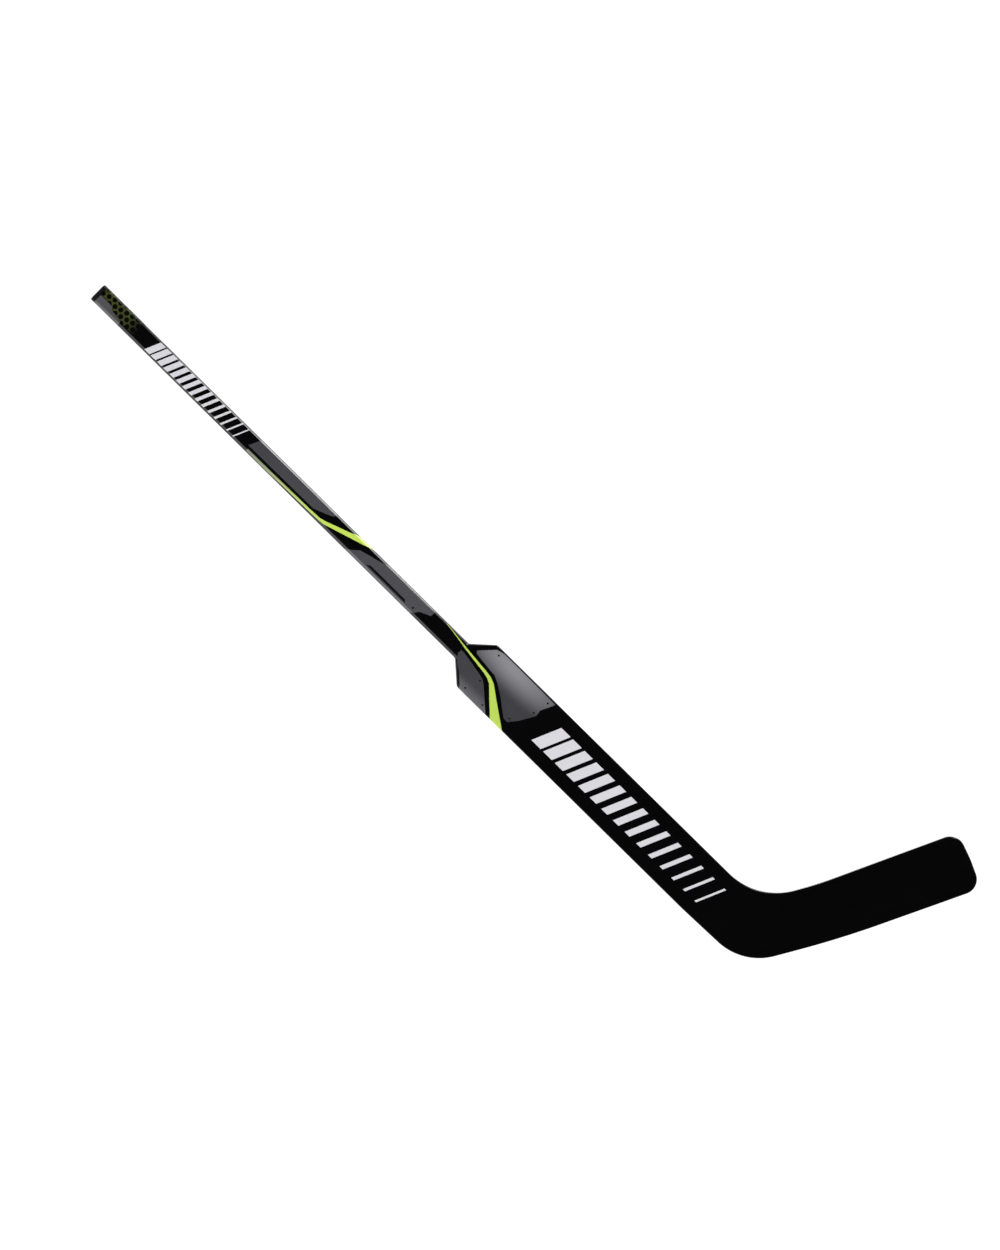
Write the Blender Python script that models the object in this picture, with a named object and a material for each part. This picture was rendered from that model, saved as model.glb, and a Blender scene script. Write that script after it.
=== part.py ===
"""A goaltender's ice hockey stick: a laminated wooden handle through a foam paddle and blade, in fibre skins.

Metres, +Z up. The stick lies on its back with its front face up. +X runs down the shaft from the butt to the
heel, and the blade turns off towards +X and +Y. The origin is on the flat back of the paddle, halfway along it.

Every piece is first made flat, about the handle's middle plane, by trimming a few shared slabs. All of them are
then bent alike, so the glue lines between them stay open: the blade thins towards the toe and curves forwards.
"""

import math

import bmesh
import bpy
from mathutils import Matrix, Vector

# Shaft
SHAFT_LENGTH = 0.767  # butt to the start of the shoulders
SHAFT_WIDTH = 0.0305
HANDLE_THICKNESS = 0.021  # shaft and paddle alike
EDGE_RADIUS = 0.005  # rounding of every long edge
FIBRE_WALL = 0.0014  # sleeve and skins alike
PLY_COUNT = 5  # wooden laminations of the handle

# Butt cap
CAP_FLANGE = 0.006
CAP_STUB = 0.022

# Paddle
NECK_LENGTH = 0.010  # how far the skins run up the shaft from the shoulders
SHOULDER_LENGTH = 0.032
SHOULDER_INNER_RADIUS = 0.006
SHOULDER_OUTER_RADIUS = 0.008
PADDLE_LENGTH = 0.630  # start of the shoulders to the heel corner
PADDLE_WIDTH = 0.0876
RIM_WIDTH = 0.010  # wooden rails of the paddle and edge strips of the blade

# Heel
HEEL_EASE_LENGTH = 0.125  # stretch above the heel where the paddle's lower edge draws in
HEEL_EASE_ANGLE = math.radians(1.6)
HEEL_EASE_RADIUS = 0.600
HEEL_RADIUS = 0.091
THROAT_RADIUS = 0.102
HEEL_BLOCK_RISE = 0.135  # heel corner to the top of the block, along the paddle
HEEL_BLOCK_REACH = 0.120  # heel corner to the end of the block, along the blade
TONGUE_LENGTH = 0.060  # middle ply in the block's mortise
PATCH_THICKNESS = 0.0008

# Blade
BLADE_ANGLE = math.radians(59.4)  # turn from the paddle to the blade's bottom edge at the heel
BLADE_LENGTH = 0.3755  # along the bottom edge, heel corner to toe corner
BLADE_WIDTH = 0.0882
BLADE_FLARE = math.radians(0.6)  # spread between the bottom and the top edge
ROCKER_START = 0.150  # heel corner to the middle of the rocker's bend
ROCKER_ANGLE = math.radians(5.1)
ROCKER_RADIUS = 1.500
TOP_BEND_START = 0.095  # throat corner to the bend in the top edge
TOP_BEND_RADIUS = 0.600
TOE_ANGLE = math.radians(2.6)  # lean of the toe past square
TOE_BULGE = 0.002
TOE_BULGE_RADIUS = 0.120
TOE_RADIUS = 0.023
TOE_STRIP_LENGTH = 0.034
BLADE_ROOT_THICKNESS = 0.014  # where the heel block ends
BLADE_TOE_THICKNESS = 0.009
BLADE_BOW = 0.015  # how far the toe curves forwards
SPAR_WIDTH = 0.012

# Fits and resolution
GLUE_LINE = 0.0003
ARC_SAG = 0.00015  # how far an arc's chord may lie inside the arc
EDGE_STEPS = 2  # extra points in each rounded edge
BEND_STEPS = 13  # straight stretches along the blade's curve
OVERRUN = 0.030  # how far a slab runs past the plane that trims it
BEYOND = 3.0  # half size of a trimming block's open sides

HALF_THICKNESS = HANDLE_THICKNESS / 2
SEAM = SHAFT_LENGTH - NECK_LENGTH
FILLING_INSET = FIBRE_WALL + GLUE_LINE
CORE_HALF_WIDTH = SHAFT_WIDTH / 2 - FILLING_INSET
CORE_HALF_HEIGHT = HALF_THICKNESS - FILLING_INSET
CHANNEL_HALF_WIDTH = CORE_HALF_WIDTH + GLUE_LINE
PLY_THICKNESS = (2 * CORE_HALF_HEIGHT - (PLY_COUNT - 1) * GLUE_LINE) / PLY_COUNT
HEEL_X = SHAFT_LENGTH + PADDLE_LENGTH
BLOCK_START = HEEL_X - HEEL_BLOCK_RISE
ORIGIN_X = SHAFT_LENGTH + PADDLE_LENGTH / 2


def heading(angle):
    """The unit vector at an angle from the shaft's axis."""
    return Vector((math.cos(angle), math.sin(angle)))


def crossing(point, angle, other_point, other_angle):
    """Where two lines meet, each given by a point and an angle."""
    along, other = heading(angle), heading(other_angle)
    reach = (other_point - point).cross(other) / along.cross(other)
    return point + along * reach


TIP_ANGLE = BLADE_ANGLE + ROCKER_ANGLE
HEEL = Vector((HEEL_X, HEEL_EASE_LENGTH * math.tan(HEEL_EASE_ANGLE) - PADDLE_WIDTH / 2))
ROCKER_BEND = HEEL + heading(BLADE_ANGLE) * ROCKER_START
TOE_LOW = ROCKER_BEND + heading(TIP_ANGLE) * (BLADE_LENGTH - ROCKER_START)

CHORD = TOE_LOW - HEEL
CHORD_ANGLE = math.atan2(CHORD.y, CHORD.x)
CHORD_LENGTH = CHORD.length
BLADE_AXES = Matrix.Translation((HEEL.x, HEEL.y, 0)) @ Matrix.Rotation(CHORD_ANGLE, 4, "Z")
BLADE_MIDDLE = BLADE_WIDTH / 2 - ROCKER_START * math.sin(CHORD_ANGLE - BLADE_ANGLE) / 2
TOE_SPLIT = CHORD_LENGTH - TOE_STRIP_LENGTH


def body_corners(inset):
    """Corners of paddle and blade seen from the front, anticlockwise, each with the radius that rounds it."""
    shaft = SHAFT_WIDTH / 2
    paddle = PADDLE_WIDTH / 2
    open_end = SEAM - OVERRUN - inset
    shoulder = SHAFT_LENGTH + SHOULDER_LENGTH
    top_angle = BLADE_ANGLE + BLADE_FLARE
    top_point = ROCKER_BEND + heading(BLADE_ANGLE + math.pi / 2) * BLADE_WIDTH
    throat = crossing(Vector((HEEL_X, paddle)), 0, top_point, top_angle)
    top_bend = throat + heading(top_angle) * TOP_BEND_START
    toe_side = TIP_ANGLE + math.pi / 2 + TOE_ANGLE
    toe_high = crossing(top_bend, TIP_ANGLE + BLADE_FLARE, TOE_LOW, toe_side)
    toe_middle = (TOE_LOW + toe_high) / 2 + heading(TIP_ANGLE) * TOE_BULGE
    return [
        (Vector((open_end, -shaft)), 0),
        (Vector((SHAFT_LENGTH, -shaft)), SHOULDER_INNER_RADIUS),
        (Vector((shoulder, -paddle)), SHOULDER_OUTER_RADIUS),
        (Vector((HEEL_X - HEEL_EASE_LENGTH, -paddle)), HEEL_EASE_RADIUS),
        (HEEL, HEEL_RADIUS),
        (ROCKER_BEND, ROCKER_RADIUS),
        (TOE_LOW, TOE_RADIUS),
        (toe_middle, TOE_BULGE_RADIUS),
        (toe_high, TOE_RADIUS),
        (top_bend, TOP_BEND_RADIUS),
        (throat, THROAT_RADIUS),
        (Vector((shoulder, paddle)), SHOULDER_OUTER_RADIUS),
        (Vector((SHAFT_LENGTH, shaft)), SHOULDER_INNER_RADIUS),
        (Vector((open_end, shaft)), 0),
    ]


def corner_turns(corners):
    """For each corner, the unit vectors into and out of it and the angle between them, left turns positive."""
    turns = []
    for index, (corner, _) in enumerate(corners):
        before = (corner - corners[index - 1][0]).normalized()
        after = (corners[(index + 1) % len(corners)][0] - corner).normalized()
        turns.append((before, after, math.atan2(before.cross(after), before.dot(after))))
    return turns


def fitted_radii(corners, turns):
    """The corner radii, each made smaller where its arc would run into the next one."""
    reaches = [radius * math.tan(abs(turn[2]) / 2) for (_, radius), turn in zip(corners, turns)]
    radii = []
    for index, (corner, radius) in enumerate(corners):
        share = 1.0
        for neighbour in (index - 1, (index + 1) % len(corners)):
            edge = (corners[neighbour][0] - corner).length
            needed = reaches[index] + reaches[neighbour]
            share = min(share, edge / max(needed, edge))
        radii.append(radius * share)
    return radii


def rounded_outline(corners, inset):
    """The outline's points, moved inwards by inset, with an arc at every rounded corner."""
    turns = corner_turns(corners)
    points = []
    for (corner, _), (before, after, turn), radius in zip(corners, turns, fitted_radii(corners, turns)):
        left = Vector((-before.y, before.x))
        left_after = Vector((-after.y, after.x))
        moved = corner + (left + left_after) * inset / (1 + left.dot(left_after))
        arc = radius - math.copysign(inset, turn)
        if radius == 0 or arc <= ARC_SAG:
            points.append(moved)
            continue
        start = moved - before * arc * math.tan(abs(turn) / 2)
        centre = start + left * math.copysign(arc, turn)
        steps = max(2, math.ceil(abs(turn) / (2 * math.acos(1 - ARC_SAG / arc))))
        for step in range(steps + 1):
            points.append(centre + Matrix.Rotation(turn * step / steps, 2) @ (start - centre))
    return points


def body_outline(inset):
    return rounded_outline(body_corners(inset), inset)


def bar_outline(half_width):
    """A straight bar along the shaft's axis, longer at both ends than any piece cut from it."""
    end = HEEL_X + OVERRUN
    return [
        Vector((-OVERRUN, -half_width)),
        Vector((end, -half_width)),
        Vector((end, half_width)),
        Vector((-OVERRUN, half_width)),
    ]


def collection(name):
    made = bpy.data.collections.new(name)
    bpy.context.scene.collection.children.link(made)
    return made


def mesh_of(obj):
    """The object's mesh with its modifiers applied."""
    bpy.context.view_layer.update()
    graph = bpy.context.evaluated_depsgraph_get()
    return bpy.data.meshes.new_from_object(obj.evaluated_get(graph))


def helper(name, mesh):
    """An object that only shapes others: out of renders and drawn as wire."""
    made = bpy.data.objects.new(name, mesh)
    made.hide_render = True
    made.display_type = "WIRE"
    CUTTERS.objects.link(made)
    return made


def slab(name, points, half_height, rounding=0.0):
    """A closed flat solid of the given outline, with its rims rounded inside that outline."""
    curve = bpy.data.curves.new(name, "CURVE")
    curve.dimensions = "2D"
    curve.fill_mode = "BOTH"
    curve.extrude = half_height - rounding
    curve.bevel_depth = rounding
    curve.bevel_resolution = EDGE_STEPS
    curve.offset = -rounding
    spline = curve.splines.new("POLY")
    spline.points.add(len(points) - 1)
    spline.use_cyclic_u = True
    for control, point in zip(spline.points, points):
        control.co = (point.x, point.y, 0, 1)
    drawn = helper(name + "_curve", curve)
    mesh = mesh_of(drawn)
    bpy.data.objects.remove(drawn)
    bm = bmesh.new()
    bm.from_mesh(mesh)
    bmesh.ops.remove_doubles(bm, verts=bm.verts, dist=GLUE_LINE / 100)
    bmesh.ops.recalc_face_normals(bm, faces=bm.faces)
    bm.to_mesh(mesh)
    bm.free()
    return helper(name, mesh)


def block(low, high, axes=Matrix()):
    """A box between two corners, in the shaft's axes unless others are given."""
    low, high = Vector(low), Vector(high)
    bm = bmesh.new()
    bmesh.ops.create_cube(bm, size=1.0)
    bmesh.ops.scale(bm, vec=high - low, verts=bm.verts)
    bmesh.ops.translate(bm, vec=(low + high) / 2, verts=bm.verts)
    bmesh.ops.transform(bm, matrix=axes, verts=bm.verts)
    mesh = bpy.data.meshes.new("block")
    bm.to_mesh(mesh)
    bm.free()
    return helper("block", mesh)


def between(x=(-BEYOND, BEYOND), y=(-BEYOND, BEYOND), z=(-BEYOND, BEYOND)):
    """A trimming block in the shaft's axes: x from the butt, y across, z from the handle's middle plane."""
    return block((x[0], y[0], z[0]), (x[1], y[1], z[1]))


def along_blade(x=(-BEYOND, BEYOND), y=(-BEYOND, BEYOND)):
    """A trimming block in the blade's axes: x from the heel corner towards the toe, y up from the chord."""
    return block((x[0], y[0], -BEYOND), (x[1], y[1], BEYOND), BLADE_AXES)


def combine(obj, operation, tool):
    """Trims, cuts or joins an object with a tool, and removes the tool if it was a block."""
    modifier = obj.modifiers.new(operation.title(), "BOOLEAN")
    modifier.operation = operation
    modifier.object = tool
    mesh = mesh_of(obj)
    obj.modifiers.clear()
    obj.data = mesh
    if tool.name.startswith("block"):
        bpy.data.objects.remove(tool)


def piece(name, source, keep=(), drop=()):
    """A new sub-part: a copy of a shared slab, trimmed to what it keeps and cut by what it drops."""
    made = bpy.data.objects.new(name, source.data.copy())
    PARTS.objects.link(made)
    for tool in keep:
        combine(made, "INTERSECT", tool)
    for tool in drop:
        combine(made, "DIFFERENCE", tool)
    return made


def smooth_step(share):
    share = min(max(share, 0.0), 1.0)
    return share * share * (3 - 2 * share)


def blade_station(step):
    """Distance along the chord, forward curve and thickness at one of the blade's bending stations."""
    along = CHORD_LENGTH * step / BEND_STEPS
    root = BLADE_ROOT_THICKNESS
    if along < HEEL_BLOCK_REACH:
        thickness = HANDLE_THICKNESS + (root - HANDLE_THICKNESS) * smooth_step(along / HEEL_BLOCK_REACH)
    else:
        share = (along - HEEL_BLOCK_REACH) / (CHORD_LENGTH - HEEL_BLOCK_REACH)
        thickness = root + (BLADE_TOE_THICKNESS - root) * share
    return along, BLADE_BOW * (along / CHORD_LENGTH) ** 2, thickness


def bend(obj):
    """Thins and curves an object along the blade, straight between stations so that neighbours stay apart."""
    stations = [blade_station(step) for step in range(BEND_STEPS + 2)]
    direction = heading(CHORD_ANGLE).to_3d()
    bm = bmesh.new()
    bm.from_mesh(obj.data)
    for along, _, _ in stations[:-1]:
        bmesh.ops.bisect_plane(
            bm,
            geom=bm.verts[:] + bm.edges[:] + bm.faces[:],
            dist=GLUE_LINE / 100,
            plane_co=HEEL.to_3d() + direction * along,
            plane_no=direction,
        )
    for vert in bm.verts:
        along = (vert.co.xy - HEEL).dot(direction.xy)
        if along <= 0:
            continue
        step = min(int(along / CHORD_LENGTH * BEND_STEPS), BEND_STEPS)
        start, end = stations[step], stations[step + 1]
        share = (along - start[0]) / (end[0] - start[0])
        _, forward, thickness = (a + (b - a) * share for a, b in zip(start, end))
        vert.co.z = forward + vert.co.z * thickness / HANDLE_THICKNESS
    bm.to_mesh(obj.data)
    bm.free()


def finish(obj, material):
    """Bends a sub-part, hangs it on the stick's frame and gives it its material."""
    bend(obj)
    obj.parent = FRAME
    obj.data.materials.clear()
    obj.data.materials.append(material)
    obj.data.shade_smooth()
    obj.data.set_sharp_from_angle(angle=math.radians(30))


def finished_material(name, colour, roughness):
    material = bpy.data.materials.new(name)
    material.use_nodes = True
    shader = material.node_tree.nodes["Principled BSDF"]
    shader.inputs["Base Color"].default_value = (*colour, 1)
    shader.inputs["Roughness"].default_value = roughness
    shader.inputs["Metallic"].default_value = 0.0
    return material


def make_slabs():
    """The shared flat solids that the sub-parts are trimmed from."""
    everywhere = HANDLE_THICKNESS
    bore_height = HALF_THICKNESS - FIBRE_WALL
    bore_radius = EDGE_RADIUS - FIBRE_WALL
    core_radius = EDGE_RADIUS - FILLING_INSET
    rim_inset = FILLING_INSET + RIM_WIDTH
    spine = crossing(Vector((0, 0)), 0, (BLADE_AXES @ Vector((0, BLADE_MIDDLE, 0))).xy, CHORD_ANGLE)
    up_shaft = Vector((-BEYOND, 0))
    up_blade = heading(CHORD_ANGLE) * BEYOND
    wedge = [spine, spine + up_blade, spine + up_blade + up_shaft, spine + up_shaft]
    return {
        "bar": slab("bar", bar_outline(SHAFT_WIDTH / 2), HALF_THICKNESS, EDGE_RADIUS),
        "bore": slab("bore", bar_outline(SHAFT_WIDTH / 2 - FIBRE_WALL), bore_height, bore_radius),
        "core": slab("core", bar_outline(CORE_HALF_WIDTH), CORE_HALF_HEIGHT, core_radius),
        "body": slab("body", body_outline(0), HALF_THICKNESS, EDGE_RADIUS),
        "cavity": slab("cavity", body_outline(FIBRE_WALL), bore_height, bore_radius),
        "filling": slab("filling", body_outline(FILLING_INSET), CORE_HALF_HEIGHT, core_radius),
        "inside_rim": slab("inside_rim", body_outline(rim_inset), everywhere),
        "field": slab("field", body_outline(rim_inset + GLUE_LINE), CORE_HALF_HEIGHT),
        "throat_side": slab("throat_side", wedge, everywhere),
    }


def make_shaft(slabs, materials):
    """The end cap, the sleeve and the laminations inside it."""
    cap = piece("butt_cap", slabs["bar"], keep=[between(x=(0, CAP_FLANGE))])
    stub = piece("stub", slabs["core"], keep=[between(x=(CAP_FLANGE / 2, CAP_FLANGE + CAP_STUB))])
    combine(cap, "UNION", stub)
    bpy.data.objects.remove(stub)
    finish(cap, materials["cap"])

    stretch = (CAP_FLANGE + GLUE_LINE, SEAM - GLUE_LINE / 2)
    sleeve = piece("shaft_sleeve", slabs["bar"], keep=[between(x=stretch)], drop=[slabs["bore"]])
    finish(sleeve, materials["lacquer"])

    start = CAP_FLANGE + CAP_STUB + GLUE_LINE
    middle = PLY_COUNT // 2
    for index, name in enumerate(ply_names()):
        low = index * (PLY_THICKNESS + GLUE_LINE) - CORE_HALF_HEIGHT
        end = BLOCK_START + TONGUE_LENGTH if index == middle else BLOCK_START - GLUE_LINE / 2
        ply = piece(name, slabs["core"], keep=[between(x=(start, end), z=(low, low + PLY_THICKNESS))])
        finish(ply, materials["handle_wood"])


def ply_names():
    """Names of the laminations from back to front, an odd number of them about the middle one."""
    side = PLY_COUNT // 2
    layers = ["outer", "inner"] if side == 2 else [f"number_{index + 1}" for index in range(side)]
    back = [f"back_{layer}_ply" for layer in layers]
    front = [f"front_{layer}_ply" for layer in reversed(layers)]
    return back + ["middle_ply"] + front


def make_skins(slabs, materials):
    """The front and back shells of paddle and blade, which meet on a parting line along the edges."""
    start = SEAM + GLUE_LINE / 2
    for name, layer in (
        ("front_skin", (GLUE_LINE / 2, BEYOND)),
        ("back_skin", (-BEYOND, -GLUE_LINE / 2)),
    ):
        skin = piece(name, slabs["body"], keep=[between(x=(start, BEYOND), z=layer)], drop=[slabs["cavity"]])
        finish(skin, materials["lacquer"])


def make_rims(slabs, materials):
    """The wooden rails of the paddle and the edge strips of the blade, end to end round the outline."""
    gap = GLUE_LINE / 2
    throat_side, inside = slabs["throat_side"], slabs["inside_rim"]
    before_toe = along_blade(x=(-BEYOND, TOE_SPLIT - gap))

    upper_rail = piece(
        "upper_paddle_rail",
        slabs["filling"],
        keep=[
            throat_side,
            between(y=(CHANNEL_HALF_WIDTH, BEYOND)),
            along_blade(x=(-BEYOND, HEEL_BLOCK_REACH - gap)),
        ],
        drop=[inside],
    )
    lower_rail = piece(
        "lower_paddle_rail",
        slabs["filling"],
        keep=[between(x=(0, BLOCK_START - gap), y=(-BEYOND, -CHANNEL_HALF_WIDTH))],
        drop=[inside],
    )
    top_strip = piece(
        "blade_top_strip",
        slabs["filling"],
        keep=[throat_side, along_blade(x=(HEEL_BLOCK_REACH + gap, TOE_SPLIT - gap))],
        drop=[inside],
    )
    bottom_strip = piece(
        "blade_bottom_strip",
        slabs["filling"],
        keep=[between(x=(BLOCK_START + gap, BEYOND)), before_toe],
        drop=[inside, throat_side],
    )
    toe_strip = piece(
        "blade_toe_strip",
        slabs["filling"],
        keep=[along_blade(x=(TOE_SPLIT + gap, BEYOND))],
        drop=[inside],
    )
    for rail in (upper_rail, lower_rail):
        finish(rail, materials["rail_wood"])
    for strip in (top_strip, bottom_strip, toe_strip):
        finish(strip, materials["strip"])


def make_fillings(slabs, materials):
    """The foam of paddle and blade, and the spar between the blade's two foams."""
    gap = GLUE_LINE / 2
    paddle = (0, BLOCK_START - gap)
    blade = (HEEL_BLOCK_REACH + gap, BEYOND)
    spar = (BLADE_MIDDLE - SPAR_WIDTH / 2, BLADE_MIDDLE + SPAR_WIDTH / 2)
    foams = (
        ("upper_paddle_foam", between(x=paddle, y=(CHANNEL_HALF_WIDTH, BEYOND))),
        ("lower_paddle_foam", between(x=paddle, y=(-BEYOND, -CHANNEL_HALF_WIDTH))),
        ("upper_blade_foam", along_blade(x=blade, y=(spar[1] + GLUE_LINE, BEYOND))),
        ("lower_blade_foam", along_blade(x=blade, y=(-BEYOND, spar[0] - GLUE_LINE))),
    )
    for name, space in foams:
        finish(piece(name, slabs["field"], keep=[space]), materials["foam"])
    blade_spar = piece("blade_spar", slabs["field"], keep=[along_blade(x=blade, y=spar)])
    finish(blade_spar, materials["spar"])


def make_heel(slabs, materials):
    """The heel block with its mortise, and the glass patches on both of its faces."""
    gap = GLUE_LINE / 2
    face = CORE_HALF_HEIGHT - PATCH_THICKNESS

    def heel_layer(name, low, high):
        space = between(x=(BLOCK_START + gap, BEYOND), z=(low, high))
        return piece(name, slabs["field"], keep=[space, along_blade(x=(-BEYOND, HEEL_BLOCK_REACH - gap))])

    heel_block = heel_layer("heel_block", GLUE_LINE - face, face - GLUE_LINE)
    mortise = between(
        x=(0, BLOCK_START + TONGUE_LENGTH + GLUE_LINE),
        y=(-CHANNEL_HALF_WIDTH, CHANNEL_HALF_WIDTH),
        z=(-PLY_THICKNESS / 2 - GLUE_LINE, PLY_THICKNESS / 2 + GLUE_LINE),
    )
    combine(heel_block, "DIFFERENCE", mortise)
    finish(heel_block, materials["rail_wood"])
    finish(heel_layer("front_heel_patch", face, CORE_HALF_HEIGHT), materials["patch"])
    finish(heel_layer("back_heel_patch", -CORE_HALF_HEIGHT, -face), materials["patch"])


for old in list(bpy.data.objects):
    bpy.data.objects.remove(old)

PARTS = collection("goalie_stick")
CUTTERS = collection("goalie_stick_cutters")
FRAME = bpy.data.objects.new("stick_frame", None)
FRAME.location = (-ORIGIN_X, 0, HALF_THICKNESS)
PARTS.objects.link(FRAME)

MATERIALS = {
    "lacquer": finished_material("black_lacquer", (0.006, 0.006, 0.007), 0.25),
    "cap": finished_material("cap_plastic", (0.020, 0.020, 0.022), 0.50),
    "handle_wood": finished_material("handle_wood", (0.620, 0.440, 0.250), 0.60),
    "rail_wood": finished_material("rail_wood", (0.480, 0.300, 0.150), 0.60),
    "strip": finished_material("strip_plastic", (0.080, 0.080, 0.085), 0.45),
    "foam": finished_material("foam", (0.750, 0.660, 0.430), 0.90),
    "spar": finished_material("spar_fibre", (0.030, 0.030, 0.033), 0.40),
    "patch": finished_material("glass_cloth", (0.600, 0.640, 0.560), 0.50),
}

SLABS = make_slabs()
make_shaft(SLABS, MATERIALS)
make_skins(SLABS, MATERIALS)
make_rims(SLABS, MATERIALS)
make_fillings(SLABS, MATERIALS)
make_heel(SLABS, MATERIALS)
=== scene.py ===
# %% [markdown]
# A goaltender's stick. A straight shaft widens at two shoulders into a broad paddle, and the paddle turns
# at the heel into a long blade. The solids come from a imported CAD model, which is loaded here and never
# moved. Its plain outer pieces could be kept and only painted, but a finer surface takes the light better
# and carries the printed stripes, so each of the four visible pieces is built again here, a hair inside the
# solid that it stands for.

# %% Load the frame
import math

import bmesh
import bpy
import numpy as np
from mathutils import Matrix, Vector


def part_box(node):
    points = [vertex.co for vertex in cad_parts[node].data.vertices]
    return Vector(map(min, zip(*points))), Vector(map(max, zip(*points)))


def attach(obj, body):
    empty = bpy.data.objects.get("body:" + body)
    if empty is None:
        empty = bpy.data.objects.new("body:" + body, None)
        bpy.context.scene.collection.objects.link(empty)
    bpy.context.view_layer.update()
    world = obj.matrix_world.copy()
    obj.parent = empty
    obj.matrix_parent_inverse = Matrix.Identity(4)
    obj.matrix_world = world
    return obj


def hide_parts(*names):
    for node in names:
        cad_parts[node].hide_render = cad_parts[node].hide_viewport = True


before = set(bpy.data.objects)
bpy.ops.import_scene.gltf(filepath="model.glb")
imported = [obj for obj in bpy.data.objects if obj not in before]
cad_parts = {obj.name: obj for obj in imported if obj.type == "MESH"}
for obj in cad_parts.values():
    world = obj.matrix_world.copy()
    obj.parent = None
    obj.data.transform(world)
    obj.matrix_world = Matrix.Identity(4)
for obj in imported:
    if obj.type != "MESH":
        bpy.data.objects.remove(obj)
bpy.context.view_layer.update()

print("nodes in the frame:", len(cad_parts))

# %% [markdown]
# The sizes of shaft and paddle are read from the frame, so that the looks follow the solids. Everything
# below is worked out in millimetres on the stick itself: x from the butt, y across, and height from the
# middle plane of the handle, with the front face up. One function turns that into metres in the frame of
# the CAD.

# %% Measure the frame
MM = 0.001


def box_mm(node):
    """Lowest and highest corner of a CAD node, in millimetres."""
    return [np.array(corner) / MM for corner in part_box(node)]


cap_low, cap_high = box_mm("butt_cap")
sleeve_low = box_mm("shaft_sleeve")[0]
skin_low = box_mm("front_skin")[0]
BUTT_X = cap_low[0]
SHAFT_HALF_WIDTH = cap_high[1]
PADDLE_HALF_WIDTH = -skin_low[1]
THICKNESS = cap_high[2] - cap_low[2]
HALF_THICKNESS = THICKNESS / 2
SLEEVE_START = sleeve_low[0] - BUTT_X
SKIN_START = skin_low[0] - BUTT_X


def in_frame(points):
    """Millimetres on the stick, with z from its back face, to metres in the frame: the butt's x is added."""
    return (points + np.array([BUTT_X, 0, 0])) * MM


print(f"shaft {2 * SHAFT_HALF_WIDTH:.1f} x {THICKNESS:.1f} mm, paddle {2 * PADDLE_HALF_WIDTH:.1f} mm wide")

# %% [markdown]
# Seen from the front, the outline is a row of straight edges joined by arcs: tight ones at the shoulders, a
# wide one at the heel, a long gentle rocker under the blade and a rounded toe. It could be traced point by
# point, but a corner and a radius for each bend says the same in a few sizes, and gives the direction of
# the edge as well.

# %% Outline sizes
SHAFT_LENGTH = 767.0
SHOULDER_LENGTH = 32.0
SHOULDER_INNER_RADIUS = 6.0
SHOULDER_OUTER_RADIUS = 8.0
PADDLE_LENGTH = 630.0
HEEL_EASE_LENGTH = 125.0
HEEL_EASE_ANGLE = math.radians(1.6)
HEEL_EASE_RADIUS = 600.0
HEEL_RADIUS = 91.0
THROAT_RADIUS = 102.0
BLADE_ANGLE = math.radians(59.4)
BLADE_LENGTH = 375.5
BLADE_WIDTH = 88.2
BLADE_FLARE = math.radians(0.6)
ROCKER_START = 150.0
ROCKER_ANGLE = math.radians(5.1)
ROCKER_RADIUS = 1500.0
TOP_BEND_START = 95.0
TOP_BEND_RADIUS = 600.0
TOE_ANGLE = math.radians(2.6)
TOE_BULGE = 2.0
TOE_BULGE_RADIUS = 120.0
TOE_RADIUS = 23.0

TIP_ANGLE = BLADE_ANGLE + ROCKER_ANGLE
HEEL_X = SHAFT_LENGTH + PADDLE_LENGTH
SHOULDER_END = SHAFT_LENGTH + SHOULDER_LENGTH


def direction(angle):
    """Unit vector at an angle from the shaft's axis: (cos, sin)."""
    return np.stack([np.cos(angle), np.sin(angle)], axis=-1)


def crossing(point, angle, other_point, other_angle):
    """Where two lines meet: point + along * k, with k from the cross products of the two directions."""
    (ax, ay), (bx, by) = direction(angle), direction(other_angle)
    gap = other_point - point
    return point + direction(angle) * (gap[0] * by - gap[1] * bx) / (ax * by - ay * bx)


heel = np.array([HEEL_X, HEEL_EASE_LENGTH * math.tan(HEEL_EASE_ANGLE) - PADDLE_HALF_WIDTH])
rocker = heel + direction(BLADE_ANGLE) * ROCKER_START
toe_low = rocker + direction(TIP_ANGLE) * (BLADE_LENGTH - ROCKER_START)
blade_top = rocker + direction(BLADE_ANGLE + math.pi / 2) * BLADE_WIDTH
throat = crossing(np.array([0, PADDLE_HALF_WIDTH]), 0, blade_top, BLADE_ANGLE + BLADE_FLARE)
top_bend = throat + direction(BLADE_ANGLE + BLADE_FLARE) * TOP_BEND_START
toe_high = crossing(top_bend, TIP_ANGLE + BLADE_FLARE, toe_low, TIP_ANGLE + math.pi / 2 + TOE_ANGLE)
toe_middle = (toe_low + toe_high) / 2 + direction(TIP_ANGLE) * TOE_BULGE
print("heel", heel.round(1), "throat", throat.round(1), "toe", toe_middle.round(1))

# %% Outline of paddle and blade
ARC_STEPS = 40


def rounded_path(corners):
    """A path through corners (x, y, radius). Each arc starts radius * tan(turn / 2) before its corner and
    goes round a centre that lies one radius to the side of the turn."""
    corners = np.array(corners, float)
    legs = np.diff(corners[:, :2], axis=0)
    angles = np.unwrap(np.arctan2(legs[:, 1], legs[:, 0]))
    points = [corners[:1, :2]]
    for (x, y, radius), angle, turn in zip(corners[1:-1], angles, np.diff(angles)):
        start = np.array([x, y]) - direction(angle) * radius * math.tan(abs(turn) / 2)
        side = math.copysign(math.pi / 2, turn)
        swept = angle + turn * np.linspace(0, 1, ARC_STEPS)
        points.append(start + radius * (direction(angle + side) - direction(swept + side)))
    return np.vstack(points + [corners[-1:, :2]])


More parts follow.
